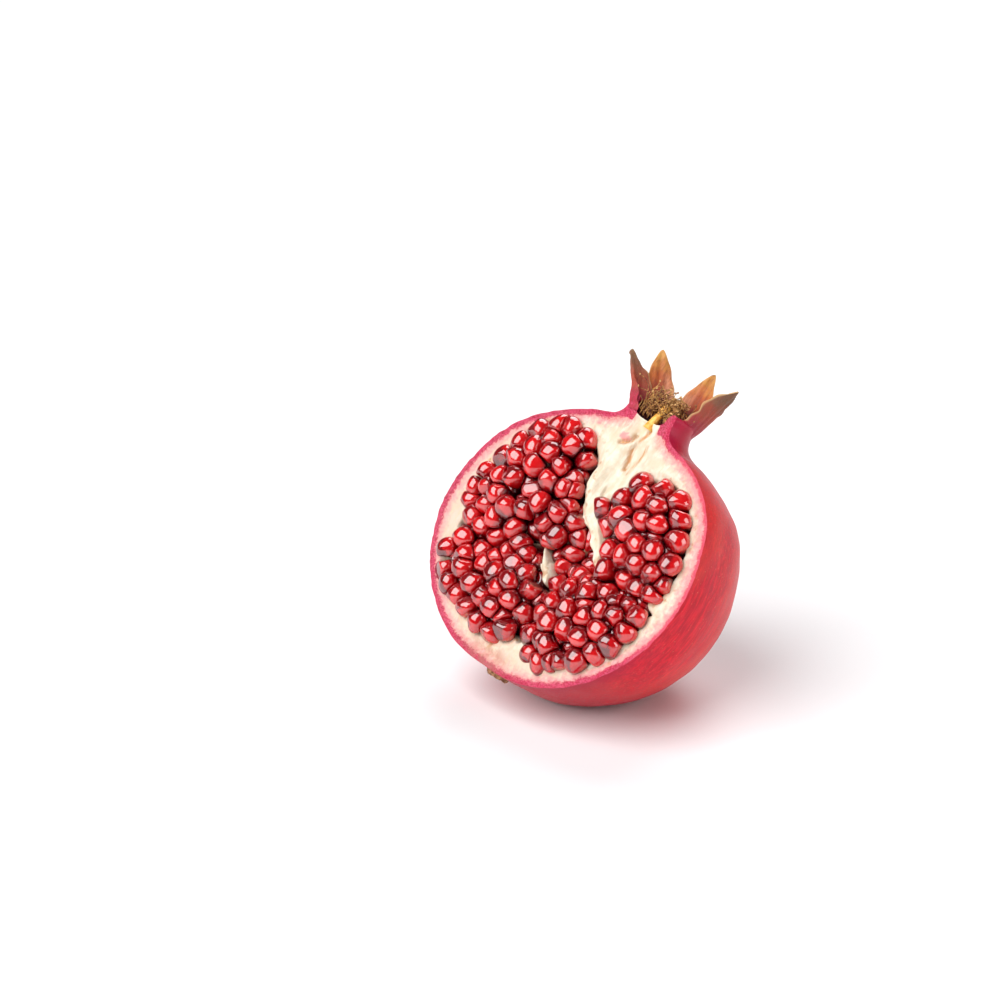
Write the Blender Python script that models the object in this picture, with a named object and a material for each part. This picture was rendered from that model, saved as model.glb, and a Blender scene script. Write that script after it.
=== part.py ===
"""Half of a pomegranate, cut lengthways: rind with crown and membranes, aril clusters,
stamens, style and stem scar. Metres, +Z up, the cut face looks up and to the front left."""

import math
import random

import bpy
import bmesh
from mathutils import Matrix, Vector

MM = 0.001
GAP = 0.3                       # mm between neighbouring pieces

# pose of the fruit: turn about its own axis, sideways lean of the axis, tip to the back
TURN = -38.6
LEAN = 31.7
TIP = -22.0
FLAT_DEPTH = 2.2                # mm taken off the underside for the resting spot

# body, mm, in the fruit's own frame: Z stem to crown, the cut face is y = 0, fruit at y > 0
BODY_CENTRE = (-5.2, 9.0, -1.0)
BODY_RADIUS = 47.3
BODY_HALF_HEIGHT = 42.4
CROWN_CENTRE = (-2.4, 5.5)
RING_SIDES = 54
BODY_RINGS = 27

# neck and calyx cup above the body: radius, height
NECK = [(15.6, 39.0), (13.2, 39.9), (11.6, 41.2), (10.7, 43.0), (10.4, 45.0), (10.5, 46.6),
        (9.9, 47.6), (8.9, 47.4), (8.3, 46.0), (8.0, 44.2), (6.8, 42.8), (4.0, 42.2)]

# calyx lobes: direction round the crown in degrees, tip x, y from the crown centre, tip z,
# width at the root, outward bow, turn of the blade about its own root in degrees
SEPALS = [
    (198.0, -20.1, -3.3, 58.4, 12.0, 1.5, -16.0),
    (150.0, -15.6, 3.4, 63.0, 12.0, 0.5, 0.0),
    (88.0, 1.9, 8.3, 64.4, 12.0, 1.5, 0.0),
    (25.0, 14.3, 5.3, 63.2, 13.5, 1.5, -8.0),
]

# outlines of the seed chambers on the cut face, x, z in mm
CHAMBERS = {
    "upper": [(-27, 31), (-18, 33), (-12, 29.5), (-7.5, 24), (-7, 18), (-5, 13), (-2.5, 9),
              (-3, 3), (-7, -2.5), (-17, -8.2), (-26, -10.6), (-36.5, -9.3), (-42.5, -5.5),
              (-45, -1.5), (-43.6, 4), (-43.2, 9.5), (-41.3, 16.5), (-37.6, 22.6), (-32.5, 27.6)],
    "left": [(-12, -7.4), (-9, -6.8), (-1.5, -13), (0.4, -19), (-0.1, -25), (-1.5, -30.5),
             (-6.5, -35), (-13, -34.8), (-20, -33), (-27.5, -30), (-35.6, -25.6),
             (-39.6, -20.5), (-40.5, -14), (-37, -11.4), (-26, -12.8), (-17.5, -10.2)],
    "right": [(14, 30.8), (21.5, 31), (27.5, 27.6), (31.5, 23.5), (34.2, 17.5), (36, 11),
              (36.4, 5), (35, -0.4), (28, -1.2), (16, -0.6), (11, 2), (9, 5.5), (5, 8.5),
              (0.6, 12.5), (0.5, 17), (5, 21.5), (6.2, 25.5), (9, 29)],
    "lower": [(8, -6), (11, -3.4), (17, -2.9), (27, -3.3), (34.4, -3.2), (35, -8), (33.6, -14),
              (31.5, -19), (28.5, -23.6), (24.5, -27.4), (19.5, -30.4), (13.5, -32.2),
              (7, -33), (3, -31), (1.4, -25), (1.9, -19), (2.9, -13)],
    "middle": [(-1.2, 9.6), (2.6, 8), (6.9, 4.6), (9.2, 0.8), (7.2, -4.4), (3.2, -9.6), (0.6, -12.2),
               (-1.2, -11.6), (-7.2, -6.2), (-5.9, -3.4), (-1.7, 2.6)],
}
CHAMBER_DEPTH = 9.0
# the chamber from its mouth to its floor: part of the depth, size beside the mouth
CHAMBER_STEPS = ((0.0, 1.0), (0.45, 0.97), (0.8, 0.9), (1.0, 0.8))
SPREAD = {"middle": 0.1}        # how far heads reach out over the mouth, 0.6 elsewhere
# height of each dome of arils over the cut face, how far in from the edge it is reached
DOME = {"upper": (6.8, 12.0), "left": (5.6, 9.0), "right": (6.6, 10.0), "lower": (6.0, 9.0),
        "middle": (2.0, 4.0)}
RISE = 2.0                      # height of the heads at the edge of a chamber
SEEDS = {"upper": 11, "left": 29, "right": 35, "lower": 47, "middle": 59}
ARIL_SPACING = 6.5              # of the rows that the heads start from
ARIL_APART = 7.1                # that they push each other to
ARIL_RADIUS = 3.6
ARIL_HALF_LENGTH = 4.8
# hidden membranes between neighbouring chambers stand lower than the cut face
LOW_WALLS = [
    [(-38, -10.3), (-26, -11.8), (-17, -9.2), (-9, -5)],
    [(-3.6, -31), (0.6, -25), (1.1, -19), (0.6, -14.5)],
    [(32.6, -1.9), (24, -2.2), (15, -1.6), (10.2, -0.4)],
    [(-7.6, -4.6), (-3.4, -0.6), (-2.2, 4.4)],
    [(0.6, -12.6), (5, -6.6), (8.2, -2)],
]
LOW_WALL_TOP = 4.2

COLOURS = {
    "skin": (0.52, 0.035, 0.06, 1.0),
    "pith": (0.88, 0.78, 0.64, 1.0),
    "arils": (0.45, 0.01, 0.03, 1.0),
    "stamens": (0.62, 0.36, 0.12, 1.0),
    "style": (0.80, 0.45, 0.10, 1.0),
    "stem": (0.20, 0.10, 0.05, 1.0),
}


def pose():
    """fruit frame in mm to the standing frame in metres, before it is set on the ground"""
    turn = Matrix.Rotation(math.radians(TURN), 4, "Z")
    lean = Matrix.Rotation(math.radians(LEAN), 4, "Y")
    tip = Matrix.Rotation(math.radians(TIP), 4, "X")
    return tip @ lean @ turn @ Matrix.Scale(MM, 4)


def make_material(name, roughness):
    mat = bpy.data.materials.new(name)
    mat.use_nodes = True
    shader = mat.node_tree.nodes["Principled BSDF"]
    shader.inputs["Base Color"].default_value = COLOURS[name]
    shader.inputs["Roughness"].default_value = roughness
    return mat


def add_object(name, mesh_builder, collection, materials):
    """an object from a bmesh made in mm in the fruit's own frame"""
    mesh = bpy.data.meshes.new(name)
    mesh_builder.normal_update()
    mesh_builder.to_mesh(mesh)
    mesh_builder.free()
    for mat in materials:
        mesh.materials.append(mat)
    obj = bpy.data.objects.new(name, mesh)
    collection.objects.link(obj)
    return obj


def face_outwards(bm):
    bmesh.ops.recalc_face_normals(bm, faces=bm.faces)
    if bm.calc_volume(signed=True) < 0:
        bmesh.ops.reverse_faces(bm, faces=bm.faces)


def bridge_rings(bm, rings, close_start=True, close_end=True):
    """faces between rings of equal count, the ends closed with a fan or a flat face"""
    rows = [[bm.verts.new(p) for p in ring] for ring in rings]
    count = len(rows[0])
    for low, high in zip(rows, rows[1:]):
        for i in range(count):
            j = (i + 1) % count
            bm.faces.new((low[i], low[j], high[j], high[i]))
    if close_start:
        bm.faces.new(list(reversed(rows[0])))
    if close_end:
        bm.faces.new(rows[-1])
    return rows


def catmull(points, parts):
    """smooth closed outline through the given points"""
    out = []
    n = len(points)
    for i in range(n):
        p0, p1, p2, p3 = (Vector(points[(i + k - 1) % n]) for k in range(4))
        for s in range(parts):
            t = s / parts
            out.append(0.5 * ((2 * p1) + (p2 - p0) * t + (2 * p0 - 5 * p1 + 4 * p2 - p3) * t * t
                              + (3 * p1 - p0 - 3 * p2 + p3) * t * t * t))
    return out


def inside_depth(p, outline):
    """distance from p to the outline, positive inside, and the direction inwards"""
    best, away, inside = 1e9, Vector((0, 0)), False
    n = len(outline)
    for i in range(n):
        a, b = outline[i], outline[(i + 1) % n]
        if (a.y > p.y) != (b.y > p.y):
            if p.x < (b.x - a.x) * (p.y - a.y) / (b.y - a.y) + a.x:
                inside = not inside
        edge = b - a
        t = max(0.0, min(1.0, (p - a).dot(edge) / max(edge.length_squared, 1e-12)))
        foot = a + edge * t
        reach = (p - foot).length
        if reach < best:
            best, away = reach, p - foot
    away = away.normalized() if away.length > 1e-9 else Vector((0, 1))
    return (best, away) if inside else (-best, -away)


def offset_outline(outline, inset):
    """the outline moved inwards along its own normals"""
    n = len(outline)
    out = []
    for i in range(n):
        before, here, after = outline[i - 1], outline[i], outline[(i + 1) % n]
        along = (after - before).normalized()
        side = Vector((-along.y, along.x))
        if inside_depth(here + side * 0.05, outline)[0] < 0:
            side = -side
        out.append(here + side * inset)
    return out


def body_ring(polar, count):
    """one ring of the skin at a polar angle measured from the crown"""
    ring = []
    s, c = math.sin(polar), math.cos(polar)
    # the ring centre drifts from the body's centre to the crown's towards the top
    blend = max(0.0, min(1.0, (math.radians(62) - polar) / math.radians(44)))
    blend = blend * blend * (3 - 2 * blend)
    cx = BODY_CENTRE[0] * (1 - blend) + CROWN_CENTRE[0] * blend
    cy = BODY_CENTRE[1] * (1 - blend) + CROWN_CENTRE[1] * blend
    for i in range(count):
        around = 2 * math.pi * i / count
        facets = 0.011 * math.cos(5 * around + 0.9) * s * s
        facets += 0.006 * math.cos(3 * around - 1.1 + 2.2 * c) * s
        shoulder = 0.055 * math.exp(-((polar - math.radians(50)) / math.radians(20)) ** 2)
        shoulder *= max(0.0, math.cos(around + 0.1)) ** 2
        hollow = 1.8 * math.exp(-((math.pi - polar) / math.radians(11)) ** 2)
        k = 1 + facets + shoulder
        ring.append(Vector((cx + BODY_RADIUS * s * k * math.cos(around),
                            cy + BODY_RADIUS * s * k * math.sin(around),
                            BODY_CENTRE[2] + BODY_HALF_HEIGHT * c * (1 + shoulder) + hollow)))
    return ring


def make_body(collection, materials):
    bm = bmesh.new()
    rings = []
    low, high = math.radians(180 - 4), math.radians(23)
    for k in range(BODY_RINGS):
        rings.append(body_ring(low + (high - low) * k / (BODY_RINGS - 1), RING_SIDES))
    for radius, z in NECK:
        ripple = max(0.0, (z - 43.0) / 4.0) * 0.25
        rings.append([Vector((CROWN_CENTRE[0] + (radius + ripple * math.cos(6 * a + 0.5)) * math.cos(a),
                              CROWN_CENTRE[1] + (radius + ripple * math.cos(6 * a + 0.5)) * math.sin(a), z))
                      for a in (2 * math.pi * i / RING_SIDES for i in range(RING_SIDES))])
    bridge_rings(bm, rings)
    face_outwards(bm)
    return add_object("rind", bm, collection, materials)


def sepal_rings(direction, tip_x, tip_y, tip_z, width, bow, turn):
    """rings of a calyx lobe, a curved blade from the rim of the cup to its tip"""
    a = math.radians(direction)
    b = a + math.radians(turn)
    out = Vector((math.cos(a), math.sin(a), 0))
    centre = Vector((CROWN_CENTRE[0], CROWN_CENTRE[1], 0))
    root = centre + out * 9.3 + Vector((0, 0, 43.6))
    tip = centre + Vector((tip_x, tip_y, tip_z))
    knee = root + Vector((0, 0, 7.5)) + out * bow
    rings = []
    steps = 9
    for k in range(steps):
        t = k / (steps - 1)
        p = root * (1 - t) ** 2 + knee * 2 * t * (1 - t) + tip * t * t
        along = ((knee - root) * (1 - t) + (tip - knee) * t).normalized()
        side = Vector((-math.sin(b), math.cos(b), 0))
        side = (side - along * side.dot(along)).normalized()
        face = side.cross(along).normalized()
        half = 0.5 * width * (1 - t ** 2.0) ** 0.8 + 0.55
        thick = 1.9 - 0.9 * t
        ring = []
        for s in (-1.0, -0.5, 0.0, 0.5, 1.0):
            cup = (s * half) ** 2 / 19.0
            ring.append(p + side * s * half - face * (cup - 0.5 * thick * (1 - 0.45 * abs(s))))
        for s in (1.0, 0.5, 0.0, -0.5, -1.0):
            cup = (s * half) ** 2 / 19.0
            ring.append(p + side * s * half - face * (cup + 0.5 * thick * (1 - 0.45 * abs(s))))
        rings.append(ring)
    return rings


def chamber_rings(name, gap, above):
    """rings down a chamber, drawn in by the gap; above lists y and spread over the mouth"""
    outline = catmull(CHAMBERS[name], 2)
    middle = sum(outline, Vector((0, 0))) / len(outline)
    rings = [(y, offset_outline(outline, -spread)) for y, spread in above]
    for part, size in CHAMBER_STEPS:
        y = part * CHAMBER_DEPTH - (gap if part == 1.0 else 0.0)
        rings.append((y, offset_outline([middle + (p - middle) * size for p in outline], gap)))
    return [[Vector((p.x, y, p.y)) for p in ring] for y, ring in rings]


def make_chamber(name, collection):
    """the hollow in the pith that a cluster of arils sits in"""
    bm = bmesh.new()
    bridge_rings(bm, chamber_rings(name, 0.0, [(-4.0, 0.4)]))
    face_outwards(bm)
    return add_object("chamber_" + name, bm, collection, [])


def make_ribbon(name, line, half, y0, y1, collection):
    """an upright slab that follows a line on the cut face"""
    bm = bmesh.new()
    pts = [Vector(p) for p in line]
    left, right = [], []
    for i, p in enumerate(pts):
        along = (pts[min(i + 1, len(pts) - 1)] - pts[max(i - 1, 0)]).normalized()
        side = Vector((-along.y, along.x)) * half
        left.append(p + side)
        right.append(p - side)
    loop = left + right[::-1]
    bridge_rings(bm, [[Vector((p.x, y, p.y)) for p in loop] for y in (y0, y1)])
    face_outwards(bm)
    return add_object(name, bm, collection, [])


def scatter_arils(name):
    """centres of the aril heads inside one outline, even but not regular"""
    outline = catmull(CHAMBERS[name], 2)
    rng = random.Random(SEEDS[name])
    edge = 1.7
    xs = [p.x for p in outline]
    zs = [p.y for p in outline]
    pts = []
    row = 0
    z = min(zs) + edge * 0.6
    while z < max(zs):
        x = min(xs) + (0.5 * ARIL_SPACING if row % 2 else 0.0) + rng.uniform(-0.8, 0.8)
        while x < max(xs):
            p = Vector((x + rng.uniform(-0.7, 0.7), z + rng.uniform(-0.7, 0.7)))
            if inside_depth(p, outline)[0] > edge * 0.45:
                pts.append(p)
            x += ARIL_SPACING
        z += ARIL_SPACING * 0.866
        row += 1
    for _ in range(60):
        moved = []
        for i, p in enumerate(pts):
            push = Vector((0, 0))
            for j, q in enumerate(pts):
                if i != j:
                    d = p - q
                    if 1e-6 < d.length < ARIL_APART:
                        push += d.normalized() * (ARIL_APART - d.length) * 0.35
            depth, inwards = inside_depth(p, outline)
            if depth < edge:
                push += inwards * (edge - depth) * 0.5
            moved.append(p + push)
        pts = moved
    return outline, pts


def dome_height(p, outline, name):
    top, reach = DOME[name]
    depth = inside_depth(p, outline)[0]
    s = max(0.0, min(1.0, depth / reach))
    return RISE + (top - RISE) * math.sin(s * math.pi / 2)


# a blunt six-sided drop of unit size
HEAD_RINGS = [[Vector((r * math.cos(math.pi * i / 3), r * math.sin(math.pi * i / 3), z)) for i in range(6)]
              for r, z in ((0.62, -0.7), (1.0, 0.25), (0.6, 0.9))]


def make_cluster(name, collection, spare, material):
    """a bunch of arils: a low core with the heads standing out of it, fused into one body"""
    outline, pts = scatter_arils(name)
    rng = random.Random(SEEDS[name] + 500)

    bm = bmesh.new()
    rings = chamber_rings(name, GAP, [])
    for v in rings[0]:
        v.y = 0.6
    middle = sum(rings[0], Vector((0, 0, 0))) / len(rings[0])
    # the core rises under the dome of heads
    mouth = rings[0]
    for size, rise in ((0.85, 0.25), (0.6, 0.42)):
        top = [middle + (v - middle) * size for v in mouth]
        lift = rise * DOME[name][0] if name != "middle" else rise * 0.6
        rings.insert(0, [Vector((v.x, 0.6 - lift, v.z)) for v in top])
    bridge_rings(bm, rings)
    face_outwards(bm)
    core = add_object("arils_" + name, bm, collection, [material])

    heads = bpy.data.collections.new("heads_" + name)
    bpy.context.scene.collection.children.link(heads)
    for index, p in enumerate(pts):
        here = dome_height(p, outline, name)
        slope_x = (dome_height(p + Vector((0.4, 0)), outline, name) - here) / 0.4
        slope_z = (dome_height(p + Vector((0, 0.4)), outline, name) - here) / 0.4
        normal = Vector((-slope_x, -1.0, -slope_z))
        normal += Vector((rng.uniform(-0.16, 0.16), 0, rng.uniform(-0.16, 0.16)))
        normal.normalize()
        radius = ARIL_RADIUS * rng.uniform(0.94, 1.05)
        length = ARIL_HALF_LENGTH * rng.uniform(0.92, 1.06)
        top = Vector((p.x, -here, p.y))
        centre = top - normal * (length - 0.2)
        bm = bmesh.new()
        bridge_rings(bm, HEAD_RINGS)
        spin = Matrix.Rotation(rng.uniform(0, math.pi), 4, "Z")
        turn = normal.to_track_quat("Z", "Y").to_matrix().to_4x4()
        size = Matrix.Diagonal((radius, radius, length, 1.0))
        bmesh.ops.transform(bm, matrix=Matrix.Translation(centre) @ turn @ spin @ size, verts=bm.verts)
        # the foot of each head stays inside the core
        add_object("head_%s_%d" % (name, index), bm, heads, [material])
    apply_modifier(core, boolean(core, "heads", "UNION", heads, "EXACT"))
    for obj in list(heads.objects):
        bpy.data.objects.remove(obj)
    bpy.data.collections.remove(heads)

    # the bunch ends where its chamber does
    bm = bmesh.new()
    spread = SPREAD.get(name, 0.6)
    bridge_rings(bm, chamber_rings(name, GAP, [(-14.0, spread), (-1.0, spread)]))
    face_outwards(bm)
    limit = add_object("limit_" + name, bm, spare, [material])
    apply_modifier(core, boolean(core, "limit", "INTERSECT", limit, "EXACT"))
    bpy.data.objects.remove(limit)
    for poly in core.data.polygons:
        poly.material_index = 0
    return core, len(pts)


def apply_modifier(obj, modifier):
    bpy.context.view_layer.objects.active = obj
    for other in bpy.context.selected_objects:
        other.select_set(False)
    obj.select_set(True)
    bpy.ops.object.modifier_apply(modifier=modifier.name)


def tube_rings(points, radii, sides):
    """rings of a thin round stalk along a line of points"""
    rings = []
    for i, p in enumerate(points):
        along = (points[min(i + 1, len(points) - 1)] - points[max(i - 1, 0)]).normalized()
        side = along.orthogonal().normalized() if i == 0 else (side - along * side.dot(along)).normalized()
        other = along.cross(side)
        rings.append([p + radii[i] * (side * math.cos(2 * math.pi * k / sides)
                                      + other * math.sin(2 * math.pi * k / sides)) for k in range(sides)])
    return rings


def make_stamens(collection, material):
    """a tuft of curled filaments on a pad in the cup, fused into one body"""
    rng = random.Random(71)
    bm = bmesh.new()
    rings = []
    for radius, z in ((5.4, 43.0), (7.4, 44.8), (7.0, 46.6), (4.4, 46.0), (3.4, 43.6)):
        rings.append([Vector((CROWN_CENTRE[0] + radius * math.cos(a), CROWN_CENTRE[1] + radius * math.sin(a), z))
                      for a in (math.radians(-18 + 216 * i / 9) for i in range(10))])
    # an open ring lining the back of the cup, closed across both of its ends
    rows = [[bm.verts.new(p) for p in ring] for ring in rings]
    for k in range(len(rows)):
        low, high = rows[k], rows[(k + 1) % len(rows)]
        for i in range(9):
            bm.faces.new((low[i], low[i + 1], high[i + 1], high[i]))
    bm.faces.new([row[0] for row in rows])
    bm.faces.new([row[-1] for row in reversed(rows)])
    face_outwards(bm)
    pad = add_object("stamens", bm, collection, [material])

    threads = bpy.data.collections.new("threads")
    bpy.context.scene.collection.children.link(threads)
    for i in range(24):
        a = math.radians(rng.uniform(-6, 186))
        radius = rng.uniform(4.4, 6.8)
        out = Vector((math.cos(a), math.sin(a), 0))
        root = Vector((CROWN_CENTRE[0], CROWN_CENTRE[1], 0)) + out * radius + Vector((0, 0, 45.0))
        rise = rng.uniform(6.0, 11.5)
        bend = -out * rng.uniform(1.0, 4.0) + Vector((rng.uniform(-1.5, 2.5), rng.uniform(-1.5, 1.5), 0))
        line = [root, root + Vector((0, 0, 0.45 * rise)) + out * 0.3,
                root + Vector((0, 0, 0.85 * rise)) + bend * 0.45,
                root + Vector((0, 0, rise)) + bend]
        bm = bmesh.new()
        bridge_rings(bm, tube_rings(line, (0.65, 0.55, 0.5, 0.45), 3))
        face_outwards(bm)
        add_object("thread_%d" % i, bm, threads, [material])
        bm = bmesh.new()
        bmesh.ops.create_icosphere(bm, subdivisions=1, radius=1.0)
        bmesh.ops.transform(bm, matrix=Matrix.Translation(line[-1])
                            @ Matrix.Rotation(rng.uniform(0, 3), 4, "X")
                            @ Matrix.Diagonal((0.75, 0.95, 0.7, 1.0)), verts=bm.verts)
        add_object("anther_%d" % i, bm, threads, [material])
    apply_modifier(pad, boolean(pad, "threads", "UNION", threads))
    for obj in list(threads.objects):
        bpy.data.objects.remove(obj)
    bpy.data.collections.remove(threads)
    return pad


def make_style(collection, material):
    line = [Vector((CROWN_CENTRE[0] + x, CROWN_CENTRE[1] + y, z))
            for x, y, z in ((0.2, -1.6, 42.2 + GAP), (0.2, -1.8, 45.5), (-0.1, -2.3, 48.0), (0.0, -2.6, 50.0),
                            (0.1, -2.7, 50.9))]
    bm = bmesh.new()
    bridge_rings(bm, tube_rings(line, (1.3, 0.9, 0.8, 1.3, 0.7), 8))
    face_outwards(bm)
    return add_object("style", bm, collection, [material])


STEM_FOOT = Vector((-3.4, 4.6, -40.6))
STEM_DIRECTION = Vector((0.05, -0.05, -1.0))


def stem_rings(grow, top):
    """short woody scar with a raised, uneven rim"""
    turn = STEM_DIRECTION.to_track_quat("Z", "Y").to_matrix()
    rings = []
    for radius, z in ((3.0 + grow, -2.4 - grow), (3.6 + grow, 0.4), (3.2 + grow, top)):
        ring = []
        for i in range(14):
            a = 2 * math.pi * i / 14
            r = radius * (1 + 0.07 * math.cos(3 * a + 1) + 0.04 * math.cos(5 * a))
            ring.append(STEM_FOOT + turn @ Vector((r * math.cos(a), r * math.sin(a), z)))
        rings.append(ring)
    return rings


def make_stem(collection, material):
    bm = bmesh.new()
    rings = stem_rings(0.0, 2.6)
    turn = STEM_DIRECTION.to_track_quat("Z", "Y").to_matrix()
    rings.append([STEM_FOOT + turn @ Vector((1.9 * math.cos(a), 1.9 * math.sin(a), 2.9))
                  for a in (2 * math.pi * i / 14 for i in range(14))])
    rings.append([STEM_FOOT + turn @ Vector((1.2 * math.cos(a), 1.2 * math.sin(a), 2.0))
                  for a in (2 * math.pi * i / 14 for i in range(14))])
    bridge_rings(bm, rings)
    face_outwards(bm)
    return add_object("stem_scar", bm, collection, [material])


def boolean(obj, name, operation, target, solver="EXACT"):
    mod = obj.modifiers.new(name, "BOOLEAN")
    mod.operation = operation
    mod.solver = solver
    if isinstance(target, bpy.types.Collection):
        mod.operand_type = "COLLECTION"
        mod.collection = target
    else:
        mod.object = target
    return mod


def main():
    for obj in list(bpy.data.objects):
        bpy.data.objects.remove(obj)
    fruit = bpy.data.collections.new("pomegranate_half")
    cutters = bpy.data.collections.new("cutters")
    for coll in (fruit, cutters):
        bpy.context.scene.collection.children.link(coll)
    mats = {name: make_material(name, rough) for name, rough in
            (("skin", 0.45), ("pith", 0.6), ("arils", 0.15), ("stamens", 0.7), ("style", 0.6), ("stem", 0.8))}

    rind = make_body(fruit, [mats["skin"], mats["pith"]])
    lobes = bpy.data.collections.new("lobes")
    bpy.context.scene.collection.children.link(lobes)
    for i, spec in enumerate(SEPALS):
        bm = bmesh.new()
        bridge_rings(bm, sepal_rings(*spec))
        face_outwards(bm)
        add_object("lobe_%d" % i, bm, lobes, [mats["skin"]])
    apply_modifier(rind, boolean(rind, "lobes", "UNION", lobes))
    for obj in list(lobes.objects):
        bpy.data.objects.remove(obj)
    bpy.data.collections.remove(lobes)

    # the cut and the chambers in it
    bm = bmesh.new()
    bmesh.ops.create_cube(bm, size=1.0)
    bmesh.ops.transform(bm, matrix=Matrix.Translation((0, -60, 10)) @ Matrix.Diagonal((200, 120, 240, 1)),
                        verts=bm.verts)
    front = add_object("cut", bm, cutters, [mats["pith"]])
    apply_modifier(rind, boolean(rind, "cut", "DIFFERENCE", front))
    bpy.data.objects.remove(front)
    hollows = bpy.data.collections.new("hollows")
    bpy.context.scene.collection.children.link(hollows)
    for name in CHAMBERS:
        make_chamber(name, hollows)
    for i, line in enumerate(LOW_WALLS):
        make_ribbon("low_wall_%d" % i, line, 2.1, -2.0, LOW_WALL_TOP, hollows)
    bm = bmesh.new()
    bridge_rings(bm, stem_rings(GAP, 8.0))
    face_outwards(bm)
    add_object("socket", bm, hollows, [])
    for obj in list(hollows.objects):
        apply_modifier(rind, boolean(rind, obj.name, "DIFFERENCE", obj, "EXACT"))
        bpy.data.objects.remove(obj)
    bpy.data.collections.remove(hollows)

    pieces = [rind]
    total = 0
    for name in CHAMBERS:
        cluster, count = make_cluster(name, fruit, cutters, mats["arils"])
        pieces.append(cluster)
        total += count
        print("arils", name, count, len(cluster.data.polygons))
    print("arils in all", total)
    pieces.append(make_stamens(fruit, mats["stamens"]))
    pieces.append(make_style(fruit, mats["style"]))
    pieces.append(make_stem(fruit, mats["stem"]))

    # set the fruit in its pose and on the ground
    stand = pose()
    for obj in pieces:
        obj.data.transform(stand)
        if stand.determinant() < 0:
            obj.data.flip_normals()
    low = min(v.co.z for v in rind.data.vertices)
    shift = Vector((0, 0, -low - FLAT_DEPTH * MM))
    xs = [v.co.x for obj in pieces for v in obj.data.vertices]
    ys = [v.co.y for obj in pieces for v in obj.data.vertices]
    shift.x = -0.5 * (min(xs) + max(xs))
    shift.y = -0.5 * (min(ys) + max(ys))
    for obj in pieces:
        obj.data.transform(Matrix.Translation(shift))
    print("shift", [round(c / MM, 3) for c in shift])
    bm = bmesh.new()
    bmesh.ops.create_cube(bm, size=1.0)
    bmesh.ops.transform(bm, matrix=Matrix.Translation((0, 0, -0.01)) @ Matrix.Diagonal((0.2, 0.2, 0.02, 1)),
                        verts=bm.verts)
    ground = add_object("ground", bm, cutters, [mats["skin"]])
    ground.hide_render = True
    ground.display_type = "WIRE"
    boolean(rind, "flat_spot", "DIFFERENCE", ground)

    # skin outside, pith on the cut and in the chambers
    inverse = (Matrix.Translation(shift) @ stand).inverted()
    turn = inverse.to_3x3()
    for poly in rind.data.polygons:
        centre = inverse @ poly.center
        facing = (turn @ poly.normal).normalized()
        on_cut = centre.y < 0.05 and facing.y < -0.9
        within = abs(centre.x + 3) < 42 and centre.y < 12 and centre.z < 38 and centre.z > -38
        in_cup = centre.z > 41.5 and (Vector((centre.x, centre.y)) - Vector(CROWN_CENTRE)).length < 8.1 \
            and centre.z < 46
        poly.material_index = 1 if (on_cut or within or in_cup) else 0
        if within and not on_cut:
            r = Vector((centre.x - BODY_CENTRE[0], centre.y - BODY_CENTRE[1],
                        (centre.z - BODY_CENTRE[2]) * BODY_RADIUS / BODY_HALF_HEIGHT)).length
            poly.material_index = 1 if r < BODY_RADIUS * 0.96 else 0


main()
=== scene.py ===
import random
from math import cos, exp, pi, radians, sin, sqrt

import bmesh
import bpy
import numpy as np
from mathutils import Matrix, Vector, kdtree


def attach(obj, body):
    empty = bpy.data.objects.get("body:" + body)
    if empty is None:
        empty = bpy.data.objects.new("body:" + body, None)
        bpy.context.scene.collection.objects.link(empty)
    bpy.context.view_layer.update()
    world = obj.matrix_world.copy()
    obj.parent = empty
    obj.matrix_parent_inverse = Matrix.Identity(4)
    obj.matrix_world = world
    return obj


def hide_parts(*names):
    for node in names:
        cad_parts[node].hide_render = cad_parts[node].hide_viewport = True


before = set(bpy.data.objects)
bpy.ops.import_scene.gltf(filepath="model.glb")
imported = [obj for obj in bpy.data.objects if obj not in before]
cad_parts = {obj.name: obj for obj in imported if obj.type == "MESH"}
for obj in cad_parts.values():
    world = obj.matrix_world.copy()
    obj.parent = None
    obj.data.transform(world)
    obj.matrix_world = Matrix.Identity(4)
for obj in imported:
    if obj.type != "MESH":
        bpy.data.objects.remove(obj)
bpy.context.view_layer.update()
print("frame loaded:", ", ".join(sorted(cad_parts)))

# how the fruit lies: degrees about its own axis, sideways and back, then its place in mm
fruitPose = {"turn": -38.6, "lean": 31.7, "tip": -22.0, "place": (-2.860, -11.579, 47.546)}

poseMatrix = (Matrix.Translation(Vector(fruitPose["place"]) * 0.001)
              @ Matrix.Rotation(radians(fruitPose["tip"]), 4, "X")
              @ Matrix.Rotation(radians(fruitPose["lean"]), 4, "Y")
              @ Matrix.Rotation(radians(fruitPose["turn"]), 4, "Z")
              @ Matrix.Scale(0.001, 4))


# small helpers

def toUnit(vector):
    return vector / np.linalg.norm(vector)


def waves(points, seed, wavelength, count=7, stretch=(1.0, 1.0, 1.0)):
    # smooth wandering value between about -1 and 1, from a few crossing sine waves
    rng = np.random.default_rng(seed)
    total = np.zeros(len(points))
    scaled = points * stretch
    for _ in range(count):
        direction = toUnit(rng.normal(size=3))
        rate = 2 * pi / (wavelength * rng.uniform(0.6, 1.5))
        total += np.sin(scaled @ direction * rate + rng.uniform(0, 6.28))
    return total / sqrt(count) * 0.8


def smooth(t):
    t = np.clip(t, 0.0, 1.0)
    return t * t * (3 - 2 * t)


def jitter(rng, size):
    return np.array((rng.uniform(-size, size), 0.0, rng.uniform(-size, size)))


def link(obj):
    bpy.context.scene.collection.objects.link(obj)
    return obj


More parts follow.
